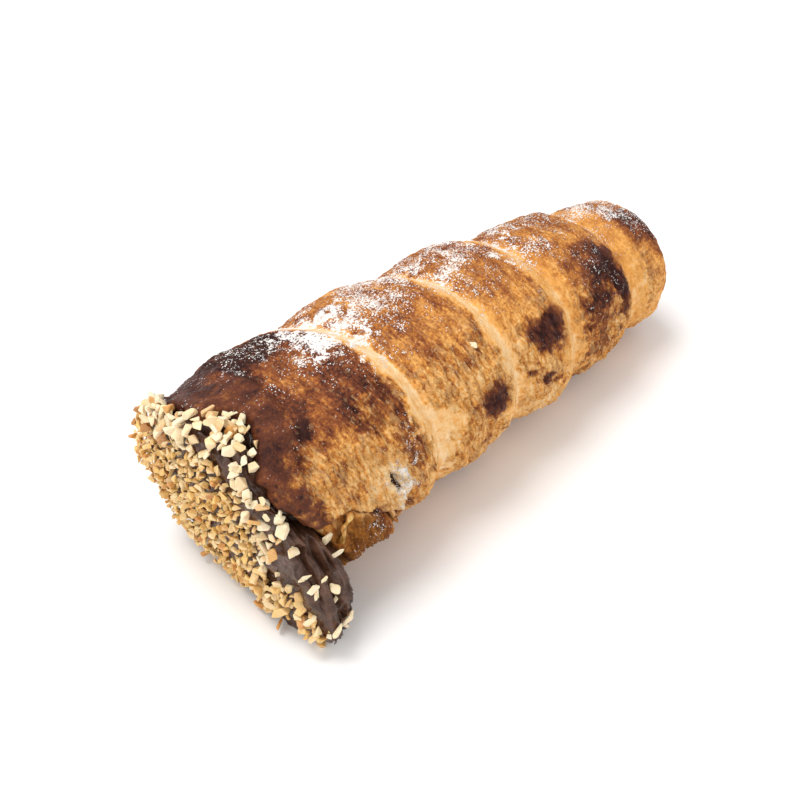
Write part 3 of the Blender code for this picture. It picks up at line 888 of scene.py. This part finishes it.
# %% [markdown]
# ## Scattering
# Nuts and sugar are many small things on a surface. One geometry tree serves them all: it spreads points
# over a bed by a density that the bed carries, puts one of a few shapes on each point, turned and sized at
# random from a fixed seed, and makes the result real. The bed itself isn't kept.


# %% The scatter tree
OVER_TABLE = 0.00002     # nothing lies lower than this, in metres


def scatter_tree(name, shapes, finish, poisson, upright):
    tree, wire = tree_with(name, ("Spacing", "Density", "Seed", "Smallest", "Largest", "Lift"))
    density, sized = named(tree, "density"), named(tree, "size")
    spread = tree.nodes.new("GeometryNodeDistributePointsOnFaces")
    spread.distribute_method = "POISSON" if poisson else "RANDOM"
    plug(tree, spread.inputs["Mesh"], wire["Geometry"])
    plug(tree, spread.inputs["Seed"], wire["Seed"])
    if poisson:
        plug(tree, spread.inputs["Distance Min"], wire["Spacing"])
        plug(tree, spread.inputs["Density Max"], wire["Density"])
        plug(tree, spread.inputs["Density Factor"], density)
    else:
        plug(tree, spread.inputs["Density"], wire["Density"] * density)

    def chance(seed, low, high, kind="FLOAT"):
        base = {"FLOAT": 2, "FLOAT_VECTOR": 0, "INT": 4}[kind]
        node = tree.nodes.new("FunctionNodeRandomValue")
        node.data_type = kind
        plug(tree, node.inputs[base], low)
        plug(tree, node.inputs[base + 1], high)
        plug(tree, node.inputs["Seed"], seed)
        return Wire(tree, node.outputs[{"FLOAT": 1, "FLOAT_VECTOR": 0, "INT": 2}[kind]])

    turned = chance(3, (-upright, -upright, -math.pi), (upright, upright, math.pi), "FLOAT_VECTOR")
    normal = Wire(tree, spread.outputs["Normal"])
    rotation = add_node(tree, "FunctionNodeRotateRotation", {"rotation_space": "LOCAL"},
                        i0=Wire(tree, spread.outputs["Rotation"]),
                        i1=add_node(tree, "FunctionNodeEulerToRotation", i0=turned))
    raised = add_node(tree, "ShaderNodeVectorMath", {"operation": "SCALE"}, i0=normal,
                      Scale=wire["Lift"] * chance(5, 0.0, 1.0))
    points = add_node(tree, "GeometryNodeSetPosition", Geometry=Wire(tree, spread.outputs["Points"]),
                      Offset=raised)
    kinds = add_node(tree, "GeometryNodeCollectionInfo", {"transform_space": "ORIGINAL"}, Collection=shapes,
                     Separate_Children=True, Reset_Children=True)
    placed = add_node(tree, "GeometryNodeInstanceOnPoints", Points=points, Instance=kinds, Pick_Instance=True,
                      Instance_Index=chance(7, 0, len(shapes.objects) - 1, "INT"), Rotation=rotation,
                      Scale=chance(9, wire["Smallest"], wire["Largest"]) * sized)
    toned = add_node(tree, "GeometryNodeStoreNamedAttribute", {"data_type": "FLOAT", "domain": "INSTANCE"},
                     Geometry=placed, Name="tone", Value=chance(11, 0.0, 1.0))
    finish_tree(tree, toned, finish)
    return tree


def scattered(name, bed, tree, **values):
    """The scattered pieces as one object, kept above the table."""
    ob = run_tree(name, bed, tree, values)
    co = points_of(ob.data)
    co[:, 2] = np.maximum(co[:, 2], OVER_TABLE)
    ob.data.vertices.foreach_set("co", co.ravel())
    ob.data.update()
    return ob


# %% [markdown]
# ## Chopped nuts
# Chopped nuts are broken blocks with flat cut faces and no two alike. A convex skin over a few random points
# in an uneven box gives just that, with a small bevel so that the edges catch light. Fourteen shapes, turned
# and sized at random, look like hundreds.

# %% Shapes of the chips
def chip_shapes(label, count, seed, size, points, bevel):
    group = bpy.data.collections.new(label)
    draw = np.random.default_rng(seed)
    for k in range(count):
        bm = bmesh.new()
        box = size * np.array([1.0, draw.uniform(0.60, 0.88), draw.uniform(0.48, 0.72)])
        for p in draw.normal(0, 1, (points, 3)):
            p = p / np.linalg.norm(p) * draw.uniform(0.82, 1.0)
            bm.verts.new(0.5 * p * box * MM)
        bmesh.ops.convex_hull(bm, input=bm.verts)
        bmesh.ops.delete(bm, geom=[v for v in bm.verts if not v.link_faces], context="VERTS")
        bmesh.ops.dissolve_limit(bm, angle_limit=math.radians(22), verts=bm.verts, edges=bm.edges)
        bmesh.ops.bevel(bm, geom=bm.edges, offset=bevel * MM, segments=1, affect="EDGES", clamp_overlap=True)
        bmesh.ops.recalc_face_normals(bm, faces=bm.faces)
        mesh = mesh_of(bm, "%s_%d" % (label, k))
        group.objects.link(bpy.data.objects.new(mesh.name, mesh))
    return group


chips = chip_shapes("nut_chip", 14, 101, 3.9, 10, 0.14)


# %% Nut materials
def nut_finish(name, light, golden, deep):
    finish, tree, shader = new_finish(name)
    tone, gold = attribute(tree, "tone"), attribute(tree, "gold")
    cloud = object_noise(tree, 480.0, 4.0, 0.6, 5.0)
    grit_noise = object_noise(tree, 1600.0, 2.0, 0.5, 6.0)
    gilding = (gold * 0.78 + tone * 0.70 - 0.20 + (cloud - 0.5) * 1.0).clamp()
    browned = (cloud.step(0.58, 0.74) * 0.55 + tone.step(0.86, 0.97) * 0.5).clamp()
    colour = blend_colour(tree, browned, blend_colour(tree, gilding, light, golden), deep)
    dress(tree, shader, Base_Color=colour, Roughness=(0.46 + (grit_noise - 0.5) * 0.3).clamp(),
          Normal=bumps(tree, 0.4, 0.0003, cloud * 0.6 + grit_noise * 0.4),
          Subsurface_Weight=0.2, Subsurface_Scale=0.0012)
    return finish


pale_nut = nut_finish("pale_nut", (0.85, 0.72, 0.50), (0.81, 0.51, 0.165), (0.52, 0.26, 0.08))
toasted_nut = nut_finish("toasted_nut", (0.74, 0.42, 0.14), (0.60, 0.28, 0.07), (0.30, 0.11, 0.035))

# %% The bed that the nuts stick to
BARE_FOOT = 0.6          # no nuts lower than this


def nut_reach(angle):
    a = turn_angle(angle)
    bare_edge = 22.6 + 15.0 * np.maximum(rising(a, 109, 11), falling(a, 40, 10))
    uneven = 0.5 * np.sin(np.radians(7 * a)) + 0.4 * np.sin(np.radians(11 * a + 60))
    return np.minimum(MOUTH_RADIUS - 0.5 + tongue(a, 2.0) * 1.02, bare_edge) + uneven


def sheet_of(name, co, columns, closed, layers):
    """An open sheet over rows of points in mm, carrying named values for the scatter tree."""
    rows, wrap = len(co) // columns, columns if closed else columns - 1
    faces = [(k * columns + i, k * columns + (i + 1) % columns, (k + 1) * columns + (i + 1) % columns,
              (k + 1) * columns + i) for k in range(rows - 1) for i in range(wrap)]
    mesh = bpy.data.meshes.new(name)
    mesh.from_pydata(((co + SHIFT) * MM).tolist(), [], faces)
    for key, values in layers.items():
        carry(mesh, key, values)
    return linked(name, mesh)


def nut_bed(name, sink, reach_share, gaps):
    """The front of the filling and the edge round it."""
    cols = np.linspace(-180, 180, 120, endpoint=False)
    reach = nut_reach(cols) * reach_share
    covered = falling(cols, 40, 6) * rising(cols, -182, 4)
    skirt = np.where(covered > 0.5, rim_station(cols) - 1.0, face_station(cols, 1.0) + 1.2)
    rings, shares = [], []
    for f in (0.0, 0.5, 1.0):
        st = skirt + (face_station(cols, 1.0) - sink - skirt) * f
        rings.append(place(st, cols, reach))
        shares.append(1.0 + 0 * cols)
    for share in np.linspace(0.97, 0.02, 18):
        rings.append(place(face_station(cols, share) - sink, cols, reach * share))
        shares.append(share * reach / MOUTH_RADIUS)
    co, share = np.concatenate(rings), np.concatenate(shares)
    a = np.tile(cols, len(rings))
    outer_right = rising(share, 0.50, 0.28) * rising(a, -62, 34) * falling(a, 176, 20)
    rough = lattice_noise(co / 4.0, 91, 2)
    thinned = 1 - 0.75 * rising(share, 0.72, 0.10) * rising(a, 52, 10) * falling(a, 114, 10)
    density = (1 - gaps * (outer_right + 0.15) * smooth(rough + 0.65)) * thinned
    gold = 1 - outer_right * 0.9 * falling(a, 124, 20) + 0.25 * rough
    bed = sheet_of(name, co, len(cols), True, {
        "density": np.where(co[:, 2] > BARE_FOOT, density, 0.0), "gold": np.clip(gold, 0, 1),
        "size": 0.70 + 0.33 * outer_right})
    bed.data.flip_normals()
    return bed


pale_tree = scatter_tree("scatter_pale_nuts", chips, pale_nut, True, 1.2)
toasted_tree = scatter_tree("scatter_toasted_nuts", chips, toasted_nut, True, 1.2)
low_bed, high_bed = nut_bed("low_bed", 1.3, 1.0, 0.85), nut_bed("high_bed", 2.3, 0.97, 0.85)
spot_bed = nut_bed("spot_bed", 2.7, 0.98, 0.0)
where = points_of(spot_bed.data) / MM - SHIFT
far_side, right_side = where[:, 1], -where[:, 1]
toasted_here = 0.3 + 1.4 * rising(far_side, 12, 6) * smooth((where[:, 2] - 30) / 8)
toasted_here = toasted_here + 1.2 * rising(right_side, 25, 4)
toasted_here = toasted_here + 0.9 * rising(right_side, 15, 4) * smooth((11 - where[:, 2]) / 5)
toasted_here = (toasted_here * (where[:, 2] > BARE_FOOT)).astype(np.float32)
spot_bed.data.attributes["density"].data.foreach_set("value", toasted_here)
nut_pieces = [
    scattered("nuts_under", low_bed, pale_tree, Spacing=0.00125, Density=950000.0, Seed=3,
              Smallest=0.6, Largest=1.2, Lift=0.0005),
    scattered("nuts_over", high_bed, pale_tree, Spacing=0.0020, Density=500000.0, Seed=8,
              Smallest=0.62, Largest=1.3, Lift=0.0006),
    scattered("nuts_toasted", spot_bed, toasted_tree, Spacing=0.0032, Density=34000.0, Seed=5,
              Smallest=0.75, Largest=1.1, Lift=0.0005)]

# %% Nuts on the chocolate that ran out
cols = np.linspace(60, 150, 60)
rows = []
leave_at = np.maximum(rim_station(cols) - 0.5, face_station(cols, 1.0))
for f in np.linspace(0.45, 0.98, 12):
    st = leave_at + (face_station(cols, 1.0) - leave_at) * f
    rows.append(place(st, cols, choc_edge(cols, st) + 0.5))
co = np.concatenate(rows)
side_bed = sheet_of("side_bed", co, len(cols), False, {
    "density": 0.15 + 0.85 * smooth((11 - co[:, 2]) / 8), "gold": 0.15, "size": 1.0})
nut_pieces.append(scattered("nuts_on_tongue", side_bed, pale_tree, Spacing=0.0036, Density=90000.0, Seed=12,
                            Smallest=0.8, Largest=1.2, Lift=0.0004))

# %% [markdown]
# ## Nuts and crumbs that lie singly
# Here and there a nut sticks to the bare chocolate or lies on the dough. They are too few to scatter, so a
# short list says where each lies, how big it is and how it is turned, and a line towards the axis of the
# horn finds the surface that it lies on.

# %% Nuts and crumbs that lie singly
# (station, angle, height over the surface, size share, stretch, lean in degrees)
SINGLE = ((8.3, 91, 1.0, 1.15, 1.9, 78), (8.9, 97, 1.0, 1.10, 1.8, 84), (0.8, 101, 0.7, 1.0, 1.0, 60),
          (1.6, 103, 0.6, 0.9, 1.5, 20), (3.6, 99, 0.5, 0.6, 1.6, 10), (1.4, 89, 0.3, 0.45, 1.0, 0),
          (0.2, 96, 0.5, 0.8, 1.7, 80), (-0.2, 72, 0.6, 1.2, 1.0, 30), (5.0, 109, 0.4, 0.7, 1.3, 50),
          (2.9, 115, 0.7, 1.1, 1.1, 40), (60.3, 45, 0.5, 0.9, 1.4, 10), (6.8, 118, 1.1, 1.15, 1.8, 76),
          (0.2, 57, 0.4, 0.8, 1.2, 20), (0.0, 64, 0.5, 0.9, 1.1, 75), (0.2, 86, 0.6, 1.1, 1.2, 10))
CRUMBS = ((0.6, -33, 0.6, 0.62, 1.0, 70), (2.5, 121, 0.5, 0.45, 1.0, 0), (1.6, -44, 0.5, 0.40, 1.0, 50),
          (8.6, 117, 0.7, 0.5, 1.0, 30))
draw = np.random.default_rng(44)
FROM_OUTSIDE = 0.08      # the line towards the axis starts this far out, in metres
surfaces = [BVHTree.FromPolygons([v.co for v in ob.data.vertices], [p.vertices for p in ob.data.polygons])
            for ob in (crust, chocolate)]


def ground(s, a):
    """The radius at which a line towards the axis first meets the crust or the chocolate, in mm."""
    axis = Vector((s + SHIFT[0], SHIFT[1], float(axis_height(s)))) * MM
    out = Vector((0, -math.sin(math.radians(a)), math.cos(math.radians(a))))
    found = [surface.ray_cast(axis + out * FROM_OUTSIDE, -out)[3] for surface in surfaces]
    found = [(FROM_OUTSIDE - far) / MM for far in found if far is not None]
    return max(found, default=float(choc_edge(a, np.float64(s))))


def lay_singly(name, rows, finish, values):
    """Copies of the chips, each laid one by one, as one mesh."""
    bm = bmesh.new()
    for k, (s, a, up, share, stretch, lean) in enumerate(rows):
        shape = chips.objects[k % len(chips.objects)].data
        middle = place(np.float64(s), a, ground(s, a) + up) + SHIFT
        co = points_of(shape) * share * np.array([stretch ** 0.6, stretch ** -0.3, stretch ** -0.3])
        turn = (Matrix.Rotation(math.radians(a), 3, "X") @ Matrix.Rotation(math.radians(90 - lean), 3, "Z")
                @ Matrix.Rotation(draw.uniform(-0.4, 0.4), 3, "Y"))
        co = co @ np.array(turn).T + middle * MM
        co[:, 2] += max(0.0, 0.00003 - co[:, 2].min())
        verts = [bm.verts.new(p) for p in co]
        for face in shape.polygons:
            bm.faces.new([verts[i] for i in face.vertices])
    mesh = mesh_of(bm, name)
    for key, value in values.items():
        carry(mesh, key, value)
    mesh.materials.append(finish)
    print(name, len(rows))
    return linked(name, mesh)


nut_pieces.append(lay_singly("nuts_single", SINGLE, pale_nut, {"tone": 0.35, "gold": 0.12}))
crumbs = lay_singly("dark_crumbs", CRUMBS, choc_finish, {})
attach(crumbs, "root")

# %% [markdown]
# ## The amber flake
# At the torn end of the strip, thin layers have lifted and baked hard and clear, like amber. One curled leaf
# is lofted from a few rows that go up its front and come down its back, so that it has a thickness, and a
# little light passes into it.

# %% The flake that curls up at the torn end of the strip
u = np.linspace(0, 1, 26)
arch = np.sin(math.pi * np.clip(u * 0.94 + 0.04, 0, 1)) ** 0.6
rings = []
for v in np.linspace(0, 1, 12):
    a = 84.5 + 12.5 * u + 2.0 * v * (u - 0.5) - 1.5 * v
    ragged_top = 1 + 0.30 * np.sin(9 * u + 1) * v
    st = 15.6 - 2.6 * u - 1.9 * v ** 1.6 + 0.5 * np.sin(4 * u + 2 * v)
    r = dough_radius(st, a) - 0.4 + 3.1 * arch * v ** 0.8 * ragged_top
    thick = 0.42 * (1 - 0.55 * v)
    rings.append(np.concatenate([place(st, a, r), place(st + thick, a, r)[::-1]]))
rings = [rings[0].mean(0)[None]] + rings + [rings[-1].mean(0)[None]]
flake = ring_skin("dough_flake", rings)
flake_finish, tree, shader = new_finish("amber_flake")
tint = object_noise(tree, 500.0, 4.0, 0.6, 9.0)
amber_tint = blend_colour(tree, tint.step(0.35, 0.68), (0.40, 0.14, 0.018), (0.82, 0.46, 0.13))
dress(tree, shader, Base_Color=amber_tint, Roughness=(0.35 + (tint - 0.5) * 0.4).clamp(),
      Normal=bumps(tree, 0.4, 0.0003, tint), Subsurface_Weight=0.3, Subsurface_Scale=0.0012)
flake.data.materials.append(flake_finish)
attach(flake, "root")

# %% Hand the nuts to the frame
for piece in nut_pieces:
    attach(piece, "root")
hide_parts("nut_coating")

# %% [markdown]
# ## Icing sugar
# Fine powder is a colour on the crust. The coarser grains stand up and catch the light, so they are small
# eight-sided stones, spread by the same tree where the sugar attribute says.

# %% Sugar grains
GRAIN = 0.15             # half the width of a sugar grain
grain_finish, tree, shader = new_finish("icing_sugar")
dress(tree, shader, Base_Color=(0.92, 0.88, 0.84, 1), Roughness=0.55)
grains = bpy.data.collections.new("sugar_grain")
draw = np.random.default_rng(7)
for k in range(4):
    bm = bmesh.new()
    for axis in range(3):
        for side in (-1, 1):
            p = np.zeros(3)
            p[axis] = side * (GRAIN * MM) * draw.uniform(0.6, 1.1)
            bm.verts.new(p)
    bmesh.ops.convex_hull(bm, input=bm.verts)
    mesh = mesh_of(bm, "grain_%d" % k)
    grains.objects.link(bpy.data.objects.new(mesh.name, mesh))
grain_share = carried(np.clip(sugar, 0, 1) ** 1.6)
carry(crust.data, "density", grain_share)
carry(crust.data, "size", 0.75 + 0.5 * grain_share)
sugar_tree = scatter_tree("scatter_sugar", grains, grain_finish, False, 3.0)
sugar_piece = scattered("sugar_grains", crust, sugar_tree, Density=9.0e6, Seed=21, Smallest=0.45,
                        Largest=1.15, Lift=0.00008)
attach(sugar_piece, "root")

for bed in (low_bed, high_bed, spot_bed, side_bed):
    bpy.data.objects.remove(bed, do_unlink=True)

# %% [markdown]
# ## Studio
# A plain pale floor and broad soft lights, with the camera looking down at the mouth from the front left. The
# floor and the lights aren't part of the pastry.

# %% Floor
bm = bmesh.new()
bmesh.ops.create_grid(bm, x_segments=1, y_segments=1, size=6.0)
floor = linked("floor", mesh_of(bm, "floor"))
floor_finish, tree, shader = new_finish("pale_floor")
dress(tree, shader, Base_Color=(0.93, 0.925, 0.92, 1), Roughness=0.9)
floor.data.materials.append(floor_finish)
floor.location.z = -0.00005

# %% Camera
TARGET = Vector((-12.9 + BODY_LENGTH / 2 + SHIFT[0], -1.5 + SHIFT[1], 20.0)) * MM
AZIMUTH, ELEVATION, DISTANCE = math.radians(-45.5), math.radians(41.0), 0.327
toward = Vector((math.sin(AZIMUTH) * math.cos(ELEVATION), -math.cos(AZIMUTH) * math.cos(ELEVATION),
                 math.sin(ELEVATION)))
camera_data = bpy.data.cameras.new("camera")
camera_data.lens = 63.0
camera_data.sensor_width = 36.0
camera_data.clip_start = 0.01
camera = linked("camera", camera_data)
camera.location = TARGET + toward * DISTANCE
camera.rotation_euler = (-toward).to_track_quat("-Z", "Y").to_euler()
scene.camera = camera

# %% Lights
world = bpy.data.worlds.new("studio")
world.use_nodes = True
sky = world.node_tree.nodes["Background"]
sky.inputs["Color"].default_value = (1.0, 1.0, 1.0, 1)
sky.inputs["Strength"].default_value = 0.66
scene.world = world


def soft_light(name, place_at, size, power):
    data = bpy.data.lights.new(name, "AREA")
    data.shape, data.size, data.energy = "DISK", size, power
    ob = linked(name, data)
    ob.location = place_at
    ob.rotation_euler = (Vector((0, 0, 0.02)) - ob.location).to_track_quat("-Z", "Y").to_euler()


soft_light("key", Vector((-0.16, 0.24, 0.85)), 0.55, 5.6)
soft_light("left", Vector((-0.85, -0.10, 0.45)), 0.6, 2.0)
soft_light("front", Vector((0.05, -0.85, 0.45)), 0.6, 1.9)
scene.view_settings.view_transform = "Standard"
